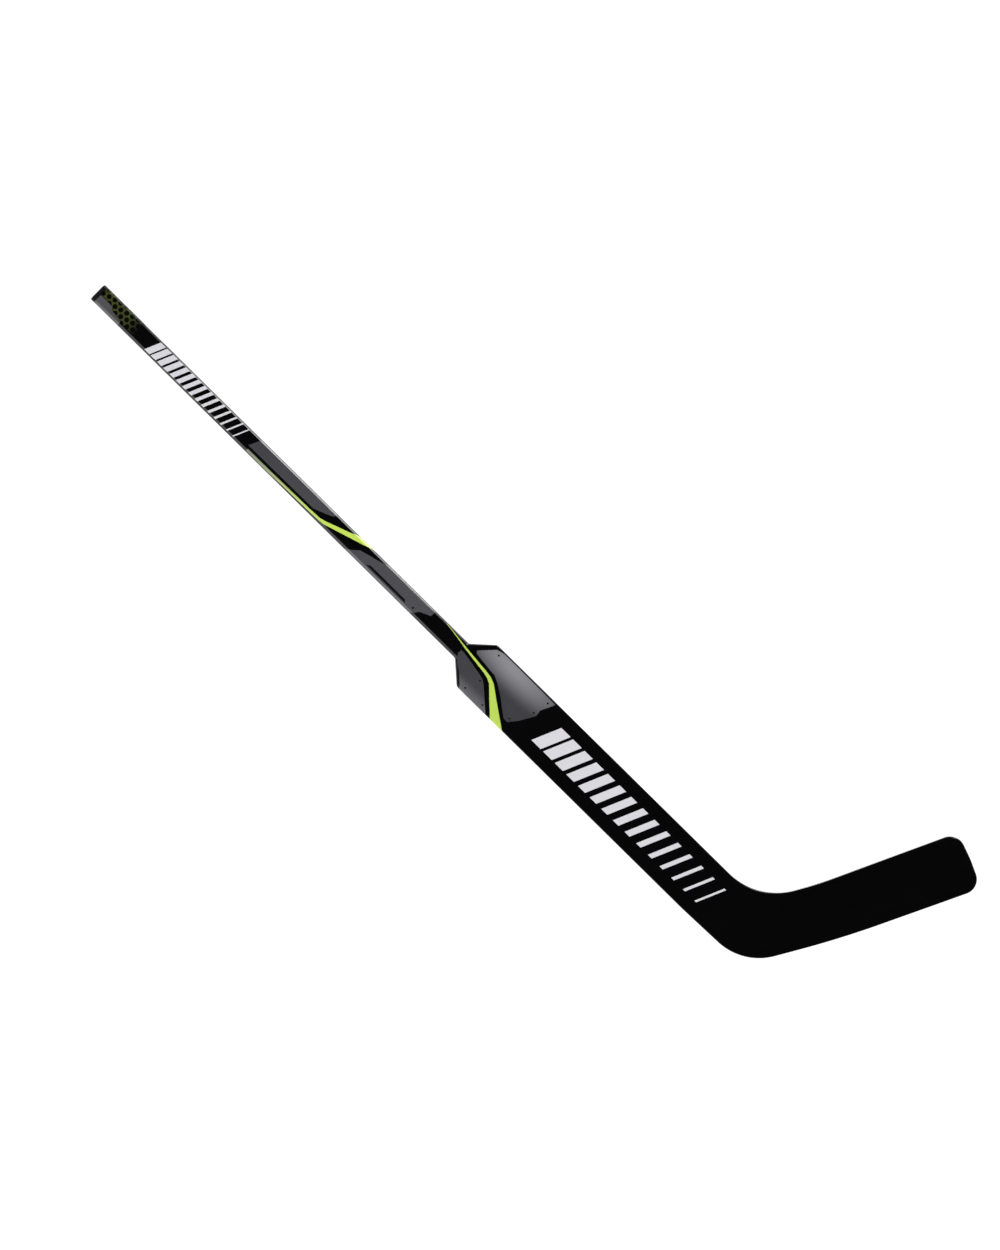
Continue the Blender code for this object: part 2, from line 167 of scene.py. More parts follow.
outline = rounded_path([
    (SKIN_START, -SHAFT_HALF_WIDTH, 0),
    (SHAFT_LENGTH, -SHAFT_HALF_WIDTH, SHOULDER_INNER_RADIUS),
    (SHOULDER_END, -PADDLE_HALF_WIDTH, SHOULDER_OUTER_RADIUS),
    (HEEL_X - HEEL_EASE_LENGTH, -PADDLE_HALF_WIDTH, HEEL_EASE_RADIUS),
    (*heel, HEEL_RADIUS),
    (*rocker, ROCKER_RADIUS),
    (*toe_low, TOE_RADIUS),
    (*toe_middle, TOE_BULGE_RADIUS),
    (*toe_high, TOE_RADIUS),
    (*top_bend, TOP_BEND_RADIUS),
    (*throat, THROAT_RADIUS),
    (SHOULDER_END, PADDLE_HALF_WIDTH, SHOULDER_OUTER_RADIUS),
    (SHAFT_LENGTH, SHAFT_HALF_WIDTH, SHOULDER_INNER_RADIUS),
    (SKIN_START, SHAFT_HALF_WIDTH, 0),
])
steps = np.diff(outline, axis=0)
run = np.concatenate([[0], np.cumsum(np.hypot(*steps.T))])
step_middles = (run[1:] + run[:-1]) / 2
step_angles = np.unwrap(np.arctan2(steps[:, 1], steps[:, 0]))


def outline_at(lengths):
    """Points of the outline at the given lengths along it, and the unit vectors that point inwards there."""
    points = np.stack([np.interp(lengths, run, outline[:, axis]) for axis in (0, 1)], axis=-1)
    return points, direction(np.interp(lengths, step_middles, step_angles) + math.pi / 2)


print(f"outline of paddle and blade: {run[-1]:.0f} mm from neck to neck")

# %% [markdown]
# The handle is one thickness all the way to the heel. From there the blade thins towards the toe and curves
# forwards, which lifts the toe off the ground when the stick lies on its back. A lattice could bend the
# mesh, but two formulas in the distance along the blade do it exactly, for the shells and for everything
# printed on them.

# %% Thickness and forward curve of the blade
BLADE_ROOT_THICKNESS = 14.0
BLADE_ROOT_REACH = 120.0
BLADE_TOE_THICKNESS = 9.0
BLADE_BOW = 15.0

blade_length = float(np.linalg.norm(toe_low - heel))
blade_along = (toe_low - heel) / blade_length


def blade_distance(plan):
    """Distance past the heel, measured along the blade: the dot product with the blade's direction."""
    return (plan - heel) @ blade_along


def eased(value, start, end):
    """Smooth step from 0 at start to 1 at end: share ** 2 * (3 - 2 * share)."""
    share = np.clip((value - start) / (end - start), 0, 1)
    return share**2 * (3 - 2 * share)


def bent(plan, height):
    """Points at a height from the middle plane. Past the heel the height shrinks with the blade's thickness,
    by a smooth step and then a straight taper, and the middle plane rises with the square of the distance."""
    along = np.maximum(blade_distance(plan), 0)
    root_thickness = THICKNESS + (BLADE_ROOT_THICKNESS - THICKNESS) * eased(along, 0, BLADE_ROOT_REACH)
    tip_share = np.clip((along - BLADE_ROOT_REACH) / (blade_length - BLADE_ROOT_REACH), 0, None)
    thickness = root_thickness - (BLADE_ROOT_THICKNESS - BLADE_TOE_THICKNESS) * tip_share
    z = HALF_THICKNESS + BLADE_BOW * (along / blade_length) ** 2 + height * thickness / THICKNESS
    return np.concatenate([plan, z[..., None]], axis=-1)


print(f"blade {blade_length:.0f} mm along its chord, toe raised {BLADE_BOW:.0f} mm")

# %% [markdown]
# Every surface is a grid of points, so one function makes all the meshes. It joins each point to its
# neighbours, closes the grid where it runs round, merges the points that meet at seams and poles, and gives
# a thin sheet its wall with a Solidify modifier. A piece may hold a stack of grids, such as a stripe on the
# front and on the back.

# %% Grid to mesh
MERGE_DISTANCE = 1e-6  # m
SHARP_ANGLE = math.radians(40)


def harden_rim(mesh):
    """Marks the edges that have only one face as sharp, so that a sheet's wall doesn't bend the light on its
    face."""
    used = np.zeros(len(mesh.loops), np.int32)
    mesh.loops.foreach_get("edge_index", used)
    sharp = np.zeros(len(mesh.edges), bool)
    marks = mesh.attributes.get("sharp_edge") or mesh.attributes.new("sharp_edge", "BOOLEAN", "EDGE")
    marks.data.foreach_get("value", sharp)
    marks.data.foreach_set("value", sharp | (np.bincount(used, minlength=len(sharp)) == 1))


def add_piece(name, grids, material, closed=(False, False), wall=0.0, replaces=(), fields=None):
    """Adds grids of points (..., rows, columns, 3), in mm, as one piece of the stick. Face (i, j) joins the
    points (i, j), (i+1, j), (i+1, j+1) and (i, j+1). The wall, in mm, grows inwards. Fields are numbers on
    the grid for the material to read, and are repeated if they cover only its last axes."""
    rows, columns = grids.shape[-3:-1]
    points = in_frame(grids.reshape(-1, 3))
    index = np.arange(len(points)).reshape(-1, rows, columns)
    index = np.concatenate([index, index[:, :1]], axis=1) if closed[0] else index
    index = np.concatenate([index, index[:, :, :1]], axis=2) if closed[1] else index
    corners = [index[:, :-1, :-1], index[:, 1:, :-1], index[:, 1:, 1:], index[:, :-1, 1:]]
    faces = np.stack(corners, axis=-1).reshape(-1, 4)

    mesh = bpy.data.meshes.new(name)
    mesh.from_pydata(points.tolist(), [], faces.tolist())
    for field, values in (fields or {}).items():
        attribute = mesh.attributes.new(field, "FLOAT", "POINT")
        attribute.data.foreach_set("value", np.resize(values, len(points)).astype(np.float32))
    shell = bmesh.new()
    shell.from_mesh(mesh)
    bmesh.ops.remove_doubles(shell, verts=shell.verts, dist=MERGE_DISTANCE)
    shell.to_mesh(mesh)
    shell.free()
    mesh.shade_smooth()
    mesh.set_sharp_from_angle(angle=SHARP_ANGLE)
    harden_rim(mesh)
    mesh.materials.append(material)

    piece = bpy.data.objects.new(name, mesh)
    bpy.context.scene.collection.objects.link(piece)
    if wall:
        solid = piece.modifiers.new("Wall", "SOLIDIFY")
        solid.thickness = wall * MM
        solid.offset = -1
    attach(piece, "root")
    if replaces:
        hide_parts(*replaces)
    print(f"{name}: {len(mesh.polygons)} faces")


# %% [markdown]
# A material is a small tree of nodes. Colours are written as sRGB hex values, the way that a colour picker
# shows them, and turned to the linear values that the shader works with. One function adds a node, sets its
# properties and fills its sockets, with a constant or with another node's output.

# %% Colours and nodes
FACTOR, MIX_A, MIX_B, MIXED = 0, 6, 7, 2  # inputs and output of a Mix node that is set to mix colours


def linear(hex_colour):
    """sRGB hex to linear RGBA: c / 12.92 for the darkest values, else ((c + 0.055) / 1.055) ** 2.4."""
    c = np.array([int(hex_colour[start:start + 2], 16) for start in (1, 3, 5)]) / 255
    return (*np.where(c <= 0.04045, c / 12.92, ((c + 0.055) / 1.055) ** 2.4), 1.0)


def add_node(tree, kind, sockets=None, **settings):
    """Adds one shader node. Settings are its properties; sockets gives each input, by name or number, a
    constant or another node's output."""
    node = tree.nodes.new("ShaderNode" + kind)
    for name, value in settings.items():
        setattr(node, name, value)
    for name, value in (sockets or {}).items():
        if isinstance(value, bpy.types.NodeSocket):
            tree.links.new(value, node.inputs[name])
        else:
            node.inputs[name].default_value = value
    return node


def per_metre(size_mm):
    """Texture scale whose pattern repeats about once in the given size."""
    return 1 / (size_mm * MM)


def new_tree(name):
    """A new material, its node tree, and the Object coordinates that every pattern in it starts from."""
    material = bpy.data.materials.new(name)
    material.use_nodes = True
    material.node_tree.nodes.clear()
    place = add_node(material.node_tree, "TexCoord").outputs["Object"]
    return material, material.node_tree, place


print("off-white ink in linear light:", np.round(linear("#E6E5EB"), 3))

# %% [markdown]
# The stick is sprayed with black lacquer over its fibre skin and finished with clear coat. It is close to a
# mirror that shows the lights as soft streaks. What tells sprayed lacquer from glass is a faint waviness,
# the orange peel, about 2 mm from crest to crest, drawn here a little coarser so that it shows. Handling
# dulls the clear coat in cloudy patches, and most of all along the edges, where it is rubbed to a grey
# bloom.

# %% Black lacquer
ORANGE_PEEL_MM = 3.0
CLOUD_MM = 70.0
CLOUD_SPREAD = 1.25  # how many times rougher or smoother than the rest the clouds get
RUB_MM = 5.0
RUB_DULLING = 0.18  # roughness that a full rub adds
LACQUER_ROUGHNESS = 0.16
CLEAR_COAT = {"IOR": 1.5, "Coat Weight": 0.8, "Coat Roughness": 0.06}
NOISE_RANGE = {"From Min": 0.3, "From Max": 0.7}  # where nearly all of a noise texture's values lie


def sprayed_coat(tree, place, roughness):
    """Nodes that all sprayed and printed surfaces share: a roughness that drifts in clouds about the given
    value, and the orange peel as a bump."""
    clouds = add_node(tree, "TexNoise", {"Vector": place, "Scale": per_metre(CLOUD_MM), "Detail": 4.0})
    drift = add_node(tree, "MapRange", {
        "Value": clouds.outputs["Fac"], **NOISE_RANGE,
        "To Min": roughness / CLOUD_SPREAD, "To Max": roughness * CLOUD_SPREAD})
    peel = add_node(tree, "TexNoise", {"Vector": place, "Scale": per_metre(ORANGE_PEEL_MM), "Detail": 1.0})
    bump = add_node(tree, "Bump", {"Height": peel.outputs["Fac"], "Strength": 0.15, "Distance": 0.3 * MM})
    return drift.outputs["Result"], bump.outputs["Normal"]


black_lacquer, tree, place = new_tree("clear_coated_black_lacquer")
cloudy, peel_normal = sprayed_coat(tree, place, LACQUER_ROUGHNESS)
edge_share = add_node(tree, "Attribute", attribute_name="edge").outputs["Fac"]
rubs = add_node(tree, "TexNoise", {
    "Vector": place, "Scale": per_metre(RUB_MM), "Detail": 6.0, "Roughness": 0.7})
rubbed = add_node(tree, "MapRange", {
    "Value": rubs.outputs["Fac"], "From Min": 0.50, "From Max": 0.72, "To Min": 0.0, "To Max": 1.0})
bloom = add_node(tree, "Math", {0: rubbed.outputs["Result"], 1: edge_share}, operation="MULTIPLY")
colour = add_node(tree, "Mix", {
    FACTOR: bloom.outputs["Value"], MIX_A: linear("#030304"), MIX_B: linear("#18181B")}, data_type="RGBA")
dulled = add_node(tree, "Math", {0: bloom.outputs["Value"], 1: RUB_DULLING, 2: cloudy},
                  operation="MULTIPLY_ADD")
shader = add_node(tree, "BsdfPrincipled", {
    "Base Color": colour.outputs[MIXED], "Roughness": dulled.outputs["Value"], "Normal": peel_normal,
    **CLEAR_COAT})
add_node(tree, "OutputMaterial", {"Surface": shader.outputs["BSDF"]})
print(black_lacquer.name, "has", len(tree.nodes), "nodes")

# %% [markdown]
# Paddle and blade are moulded in two halves, a front and a back skin, which meet on a fine parting line
# halfway up the edge. Each half could be an extruded outline with a bevel, but then the flat face would be
# one large polygon that can't bend. Instead the edge's section is carried along the outline: up the wall,
# round the edge, and in over the face to a spine down the middle. The two sides share the spine's points,
# and the toe closes on its end. The edges are well rounded on the shaft, where hands hold it, and at the
# toe, and sharper in between.

# %% Stations along the outline
EDGE_RADIUS = 5.0
PADDLE_EDGE_RADIUS = 2.0
LACQUER_DEPTH = 0.10  # how far the lacquer lies inside the CAD surface, which leaves room for the print
PARTING_GAP = 0.3
SHOULDER_STRETCH_END = 815.0  # x
PADDLE_STRETCH_END = 1285.0  # x
HEEL_STRETCH_END = 70.0  # distance past the heel
TOE_STRETCH = 40.0  # distance back from the toe
STATION_COUNTS = (80, 110, 50, 70)  # in the stretches of shoulder, paddle, heel and blade
TOE_COUNT = 60


def edge_radius(plan):
    """Radius of the rounded edge: the shaft's, then a smooth step to the paddle's over the shoulder, and one
    back to the shaft's at the toe."""
    paddle_share = eased(plan[..., 0], SHAFT_LENGTH, SHOULDER_STRETCH_END)
    toe_share = eased(blade_length - blade_distance(plan), 2 * TOE_STRETCH, TOE_STRETCH / 2)
    return EDGE_RADIUS + (PADDLE_EDGE_RADIUS - EDGE_RADIUS) * (paddle_share - toe_share)


toe_index = int(np.argmax(blade_distance(outline)))
half_loops = {"lower": slice(None, toe_index + 1), "upper": slice(None, toe_index - 1, -1)}


def side_stations(half):
    """Lengths along the outline of one side's stations: even steps through each of the four stretches."""
    path, lengths = outline[half], run[half]
    marks = np.concatenate([
        np.interp([SKIN_START, SHOULDER_STRETCH_END, PADDLE_STRETCH_END], path[:, 0], lengths),
        np.interp([HEEL_STRETCH_END, blade_length - TOE_STRETCH], blade_distance(path), lengths),
    ])
    stretches = zip(marks, marks[1:], STATION_COUNTS)
    return np.concatenate([np.linspace(a, b, n, endpoint=False) for a, b, n in stretches] + [marks[-1:]])


lower_stations = side_stations(half_loops["lower"])
upper_stations = side_stations(half_loops["upper"])
lower_edge, upper_edge = outline_at(lower_stations)[0], outline_at(upper_stations)[0]
spine = (lower_edge + upper_edge) / 2
toe_stations = np.linspace(lower_stations[-1], upper_stations[-1], TOE_COUNT + 2)[1:-1]
loop_points, loop_inwards = outline_at(np.concatenate([lower_stations, toe_stations, upper_stations[::-1]]))
loop_spine = np.concatenate([spine, np.repeat(spine[-1:], TOE_COUNT, axis=0), spine[::-1]])
print("stations round the outline:", len(loop_points))

# %% Front and back shells
SHELL_WALL = 0.5
ROUND_STEPS = 12
FACE_STEPS = 8

swing = np.linspace(0, math.pi / 2, ROUND_STEPS + 1)
face_share = np.linspace(0, 1, FACE_STEPS + 1)[1:]
edge_nearness = np.concatenate([np.ones(2), np.cos(swing), np.zeros(FACE_STEPS)])


def shell_surface(side):
    """Half shell. The rim is the outline moved inwards by radius - r * cos(swing), at the height
    half thickness - radius + r * sin(swing), r being the lacquer's own radius. The face runs straight from
    the rim to the spine."""
    radius = edge_radius(loop_points)[:, None]
    lacquer_radius = radius - LACQUER_DEPTH
    wall = np.repeat([[PARTING_GAP / 2, (HALF_THICKNESS - EDGE_RADIUS) / 2]], len(radius), axis=0)
    inset = np.hstack([np.full_like(wall, LACQUER_DEPTH), radius - lacquer_radius * np.cos(swing)])
    height = np.hstack([wall, HALF_THICKNESS - radius + lacquer_radius * np.sin(swing)])
    rim = loop_points[:, None] + inset[..., None] * loop_inwards[:, None]
    face = rim[:, -1:] + face_share[:, None] * (loop_spine[:, None] - rim[:, -1:])
    plan = np.concatenate([rim, face], axis=1)
    surface = bent(plan, side * np.hstack([height, np.repeat(height[:, -1:], FACE_STEPS, axis=1)]))
    return surface if side > 0 else surface[::-1]


for name, side, node in (("front_shell", 1, "front_skin"), ("back_shell", -1, "back_skin")):
    add_piece(name, shell_surface(side), black_lacquer, wall=SHELL_WALL, replaces=[node],
              fields={"edge": edge_nearness})

# %% [markdown]
# The shaft is a rounded rectangle in section. Its sleeve is a tube, so one closed profile is carried round
# that section: along the outside and back along the inside. A small rounding at the butt leaves a fine
# groove against the cap, as between the real pieces. The joint with the paddle's skins is filled and
# lacquered over.

# %% Shaft sleeve
SLEEVE_WALL = 1.2
SLEEVE_END_ROUND = 0.25
NECK_GAP = 0.02
SLEEVE_STATIONS = 60
SLEEVE_END_STEPS = 4

corner_turn = np.linspace(0, math.pi / 2, ROUND_STEPS + 1)
section_angle = np.concatenate([corner_turn + quarter * math.pi / 2 for quarter in range(4)])
corner_y = np.repeat([1, -1, -1, 1], ROUND_STEPS + 1) * (SHAFT_HALF_WIDTH - EDGE_RADIUS)
corner_z = np.repeat([1, 1, -1, -1], ROUND_STEPS + 1) * (HALF_THICKNESS - EDGE_RADIUS)


def swept_section(x, inset, scale=1.0):
    """Rounded rectangle of the shaft at each x: corner centres plus (radius - inset) * (cos, sin), drawn in
    towards the axis by scale."""
    x, inset, scale = np.broadcast_arrays(np.array(x, float), inset, scale)
    radius = EDGE_RADIUS - inset[:, None]
    y = scale[:, None] * (corner_y + radius * np.cos(section_angle))
    z = HALF_THICKNESS + scale[:, None] * (corner_z + radius * np.sin(section_angle))
    return np.stack([np.broadcast_to(x[:, None], y.shape), y, z], axis=-1)


end_turn = np.linspace(0, math.pi / 2, SLEEVE_END_STEPS + 1)
end_in = SLEEVE_END_ROUND * (1 - np.cos(end_turn))
end_down = SLEEVE_END_ROUND * (1 - np.sin(end_turn))
neck_end = SKIN_START - NECK_GAP
outside = np.linspace(SLEEVE_START, neck_end, SLEEVE_STATIONS)[1:]
sleeve_x = np.concatenate([SLEEVE_START + end_in, outside, [neck_end, SLEEVE_START]])
sleeve_inset = LACQUER_DEPTH + np.concatenate([end_down, np.zeros_like(outside), [SLEEVE_WALL, SLEEVE_WALL]])
corner_nearness = np.tile(np.sin(2 * corner_turn), 4)
add_piece("shaft_shell", swept_section(sleeve_x, sleeve_inset)[:, ::-1], black_lacquer, closed=(True, True),
          replaces=["shaft_sleeve"], fields={"edge": corner_nearness[::-1]})

# %% [markdown]
# The butt is closed by a moulded plastic cap: a flange as large as the shaft and a stub that is pressed
# into the sleeve. It is black like the lacquer but dull, because the mould was spark eroded: the tool
# leaves a fine even grain, about 0.15 mm on the real thing and drawn at 0.6 mm here so that it shows.

# %% Cap plastic
CAP_GRAIN_MM = 0.6
HANDLING_MM = 12.0  # from one shiny, handled patch to the next

cap_plastic, tree, place = new_tree("spark_textured_black_plastic")
grain = add_node(tree, "TexNoise", {"Vector": place, "Scale": per_metre(CAP_GRAIN_MM), "Detail": 3.0})
handled = add_node(tree, "TexNoise", {"Vector": place, "Scale": per_metre(HANDLING_MM), "Detail": 3.0})
colour = add_node(tree, "Mix", {
    FACTOR: handled.outputs["Fac"], MIX_A: linear("#070708"), MIX_B: linear("#0F0F11")}, data_type="RGBA")
dullness = add_node(tree, "MapRange", {"Value": handled.outputs["Fac"], "To Min": 0.36, "To Max": 0.52})
bump = add_node(tree, "Bump", {"Height": grain.outputs["Fac"], "Strength": 0.5, "Distance": 0.08 * MM})
shader = add_node(tree, "BsdfPrincipled", {
    "Base Color": colour.outputs[MIXED], "Roughness": dullness.outputs["Result"],
    "Normal": bump.outputs["Normal"], "IOR": 1.5})
add_node(tree, "OutputMaterial", {"Surface": shader.outputs["BSDF"]})
print(cap_plastic.name, "has", len(tree.nodes), "nodes")

# %% Butt cap
CAP_END_ROUND = 2.0
CAP_RIM_ROUND = 0.4
CAP_GAP = 0.3
STUB_END = 27.5
STUB_INSET = 1.8
CAP_ROUND_STEPS = 8
CAP_FACE_STEPS = 5

# The profile goes out over the end face, round its edge and along to the rim by the sleeve. Round that,
# it turns in to the stub, runs along it and closes over the stub's end.
cap_end = SLEEVE_START - CAP_GAP
quarter_turn = np.linspace(0, math.pi / 2, CAP_ROUND_STEPS + 1)
ahead, aside = 1 - np.cos(quarter_turn), 1 - np.sin(quarter_turn)
spread = np.linspace(0, 1, CAP_FACE_STEPS + 1)
flat = np.ones_like(spread)
cap_x = np.concatenate([
    LACQUER_DEPTH * flat, LACQUER_DEPTH + CAP_END_ROUND * ahead, cap_end - CAP_RIM_ROUND * aside,
    [cap_end], STUB_END * flat])
cap_inset = LACQUER_DEPTH + np.concatenate([
    CAP_END_ROUND * flat, CAP_END_ROUND * aside, CAP_RIM_ROUND * ahead, [STUB_INSET], STUB_INSET * flat])
cap_scale = np.concatenate([spread, np.ones(2 * len(quarter_turn) + 1), spread[::-1]])
add_piece("butt_cap_shell", swept_section(cap_x, cap_inset, cap_scale)[:, ::-1], cap_plastic,
          closed=(False, True), replaces=["butt_cap"])

# %% [markdown]
# The stripes and panels are inks printed on the lacquer and sealed under clear coat. They could be painted
# by the lacquer's own nodes, but their edges would then be only as crisp as the baked image. Each is a film
# instead, a few hundredths of a millimetre thick. It is drawn flat, x along the stick and girth across it,
# and the function below lays the drawing on the stick, so that what runs past the flat face wraps round the
# edge.

# %% Flat drawing to stick
INK_LIFT = 0.05
INK_FILM = 0.04


def on_stick(drawing, side, lift):
    """Lays a drawing on the front (side 1) or back (side -1). Girth runs straight across the flat face, then
    round the edge (angle = girth past the flat / radius), then down the wall."""
    x, girth = drawing[..., 0], drawing[..., 1]
    half_width = np.where(girth < 0, np.interp(x, lower_edge[:, 0], -lower_edge[:, 1]),
                          np.interp(x, upper_edge[:, 0], upper_edge[:, 1]))
    radius = edge_radius(drawing)
    flat = half_width - radius
    past = np.maximum(np.abs(girth) - flat, 0)
    angle = np.minimum(past / radius, math.pi / 2)
    film_radius = radius - LACQUER_DEPTH + lift
    y = np.sign(girth) * (np.minimum(np.abs(girth), flat) + film_radius * np.sin(angle))
    height = HALF_THICKNESS - radius + film_radius * np.cos(angle) - (past - angle * radius)
    return bent(np.stack([x, y], axis=-1), side * height)


def print_on_both(name, drawing, ink, closed=(False, False), lift=INK_LIFT):
    """Prints a drawing on the front and, mirrored through the handle, on the back, as one piece. The back's
    rows run the other way, so that its faces point outwards too."""
    faces = [on_stick(drawing, 1, lift), on_stick(drawing, -1, lift)[..., ::-1, :, :]]
    girths = np.stack([drawing[..., 1], drawing[..., ::-1, :, 1]])
    add_piece(name, np.stack(faces), ink, closed=closed, wall=INK_FILM, fields={"girth": girths * MM})


shaft_girth = SHAFT_HALF_WIDTH + HALF_THICKNESS - (2 - math.pi / 2) * EDGE_RADIUS
print(f"girth of the shaft from its axis to the parting line: {shaft_girth:.1f} mm")

# %% Panels between drawn edges
def knot_steps(one, other, step):
    """Places along two facing edges, counted in knots, no further apart than the step on either edge."""
    spans = np.maximum(*[np.hypot(*np.diff(edge, axis=0).T) for edge in (one, other)])
    counts = np.ceil(spans / step).astype(int)
    parts = [np.linspace(knot, knot + 1, count, endpoint=False) for knot, count in enumerate(counts)]
    return np.concatenate(parts + [[len(counts)]])


def at_knots(edge, places):
    """Points of a drawn edge at places counted in knots, straight from knot to knot."""
    return np.stack([np.interp(places, np.arange(len(edge)), edge[:, axis]) for axis in (0, 1)], axis=-1)


def panel(lower, upper, step, start=None, end=None):
    """Coons patch between four drawn edges: the sheet ruled from lower to upper edge, plus the sheet ruled
    from start to end, less the plain sheet through the four corners. Facing edges have the same number of
    knots. The step is a pair, from point to point along the lower and upper edge and across."""
    lower, upper = np.array(lower, float), np.array(upper, float)
    start = np.array([lower[0], upper[0]] if start is None else start, float)
    end = np.array([lower[-1], upper[-1]] if end is None else end, float)
    places, across = knot_steps(lower, upper, step[0]), knot_steps(start, end, step[1])
    u = (places / places[-1])[:, None, None]
    v = (across / across[-1])[None, :, None]
    ruled = (1 - v) * at_knots(lower, places)[:, None] + v * at_knots(upper, places)[:, None]
    crossed = (1 - u) * at_knots(start, across)[None] + u * at_knots(end, across)[None]
    plain = (1 - u) * ((1 - v) * lower[0] + v * upper[0]) + u * ((1 - v) * lower[-1] + v * upper[-1])
    return ruled + crossed - plain


print("a test panel of 10 x 4 mm has the grid", panel([(0, 0), (10, 0)], [(0, 4), (10, 4)], (1, 2)).shape)

# %% [markdown]
# All the inks are made alike: pigment in a binder, screen printed, so the colour is even but faintly
# mottled, about 1 mm from spot to spot, and the clear coat over it has the same orange peel as the lacquer.
# The binder is rich and shines more than the lacquer does, so its specular level is raised. Some inks fade
# from one tone to another across the panel, in a straight line, or outwards from a bright spot that is a
# painted highlight. The share of the second tone is worked out from the place on the stick.

# %% Printed inks
MOTTLE_MM = 1.0
MOTTLE_DEPTH = 0.07
INK_ROUGHNESS = 0.22


def printed_ink(name, first, second, start, end, spot=False):
    """Ink that fades from the first colour at start to the second at end, both points (x, y) in mm on the
    stick: share = (place - start) . (end - start) / |end - start| ** 2. A spot, a painted highlight, fades
    from its middle, the start, to the rim of an ellipse with the half axes end: share = |(place - start) /
    end|."""
    ink, tree, place = new_tree(name)
    cloudy, peel_normal = sprayed_coat(tree, place, INK_ROUGHNESS)
    origin = in_frame(np.array([*start, 0]))
    offset = add_node(tree, "VectorMath", {0: place, 1: origin}, operation="SUBTRACT")
    if spot:
        rates = 1 / (np.array(end) * MM)
        scaled = add_node(tree, "VectorMath", {0: offset.outputs["Vector"], 1: (*rates, 0)},
                          operation="MULTIPLY")
        share = add_node(tree, "VectorMath", {0: scaled.outputs["Vector"]}, operation="LENGTH")
    else:
        way = np.subtract(end, start) * MM
        share = add_node(tree, "VectorMath", {0: offset.outputs["Vector"], 1: (*way / (way @ way), 0)},
                         operation="DOT_PRODUCT")
    fade = add_node(tree, "MapRange", {"Value": share.outputs["Value"]}, interpolation_type="SMOOTHSTEP")
    tone = add_node(tree, "Mix", {
        FACTOR: fade.outputs["Result"], MIX_A: linear(first), MIX_B: linear(second)}, data_type="RGBA")
    spots = add_node(tree, "TexNoise", {"Vector": place, "Scale": per_metre(MOTTLE_MM), "Detail": 2.0})
    mottle = add_node(tree, "MapRange", {
        "Value": spots.outputs["Fac"], **NOISE_RANGE, "To Min": 1 - MOTTLE_DEPTH, "To Max": 1 + MOTTLE_DEPTH})
    colour = add_node(tree, "Mix", {
        FACTOR: 1.0, MIX_A: tone.outputs[MIXED], MIX_B: mottle.outputs["Result"]},
        data_type="RGBA", blend_type="MULTIPLY")
    shader = add_node(tree, "BsdfPrincipled", {
        "Base Color": colour.outputs[MIXED], "Roughness": cloudy, "Normal": peel_normal,
        "Specular IOR Level": 1.0, **CLEAR_COAT})
    add_node(tree, "OutputMaterial", {"Surface": shader.outputs["BSDF"]})
    return ink


print("mottle scale per metre:", per_metre(MOTTLE_MM))

# %% [markdown]
# Two stripes of fluorescent yellow-green run down the stick. The first begins in grey on the lower edge of
# the shaft, brightens as it goes, then turns across the face and round the upper edge. The second starts as
# a point on the upper edge, runs down to the paddle and turns off across the lower half of it, growing
# wider all the way. Each is the sheet between two drawn edges that have a knot at every bend.

# %% Neon stripes
STRIPE_STEP = (1.6, 0.8)

fading_neon = printed_ink("grey_to_fluorescent_green_ink", "#73746A", "#CBE955", (312, 0), (482, 0))
neon_ink = printed_ink("fluorescent_yellow_green_ink", "#C0DF4C", "#C6E552", (760, 0), (900, 0))
shaft_stripe = panel(
    [(326, -13.6), (370, -13.6), (400, -12.7), (455, -11.8), (478, -11.2), (486, -10.4), (540.4, 6.3),
     (552, 9.9), (588, 23.4)],
    [(326, -9.2), (370, -9.3), (400, -9.1), (455, -8.4), (475, -7.6), (483.8, -5.7), (524.3, 9),
     (533.5, 13.2), (551, 23.4)], STRIPE_STEP)
paddle_stripe = panel(
    [(722, 13.2), (750, 9.0), (768, 5.8), (799, 1.5), (813, -0.2), (822, -2.3), (830.5, -6.2), (847.2, -22.8),
     (863.2, -38.0), (877, -52)],
    [(722, 13.7), (750, 10.5), (768, 8.4), (799, 5.4), (813, 4.2), (825, 2.5), (836, -1.8), (855.3, -16),
     (887.7, -38.8), (906, -52)], STRIPE_STEP)
print_on_both("neon_shaft_stripe", shaft_stripe, fading_neon)
print_on_both("neon_paddle_stripe", paddle_stripe, neon_ink)

# %% [markdown]
# Between the stripes lie dark grey panels with slanted ends, two on the shaft and two on the paddle, each
# set off by a margin of bare black lacquer. The panel above the stripe on the paddle carries a painted
# highlight: its grey is painted lighter, towards silver, round a bright spot near the upper shoulder. The
# panels wrap round the edges of the shaft, and one has a fine black line along it.

# %% Grey panels of the shaft
PANEL_STEP = (3.0, 0.8)

shaft_grey = printed_ink("dark_grey_ink", "#414045", "#4D4C50", (330, 0), (690, 0))
first_panel = panel(
    [(323, -5.2), (459, -4.2)], [(334, 18), (492, 18)], PANEL_STEP,
    start=np.linspace((323, -5.2), (334, 18), 6),
    end=[(459, -4.2), (466, -1.5), (475.5, 2.2), (485, 6.2), (490, 9.0), (492, 18)])
second_panel = panel(
    [(528, -18.5), (667, -18.5)], [(609, 18), (698, 18)], PANEL_STEP,
    start=[(528, -18.5), (543.5, -8.2), (553, 0.4), (567, 4.0), (591, 10.2), (609, 18)],
    end=[(667, -18.5), (677, -8.2), (680.5, -3.2), (686, -0.6), (697.5, 4.5), (698, 18)])
print_on_both("first_shaft_panel", first_panel, shaft_grey)
print_on_both("second_shaft_panel", second_panel, shaft_grey)

# %% Grey panels of the paddle
PADDLE_STEP = (2.0, 2.0)

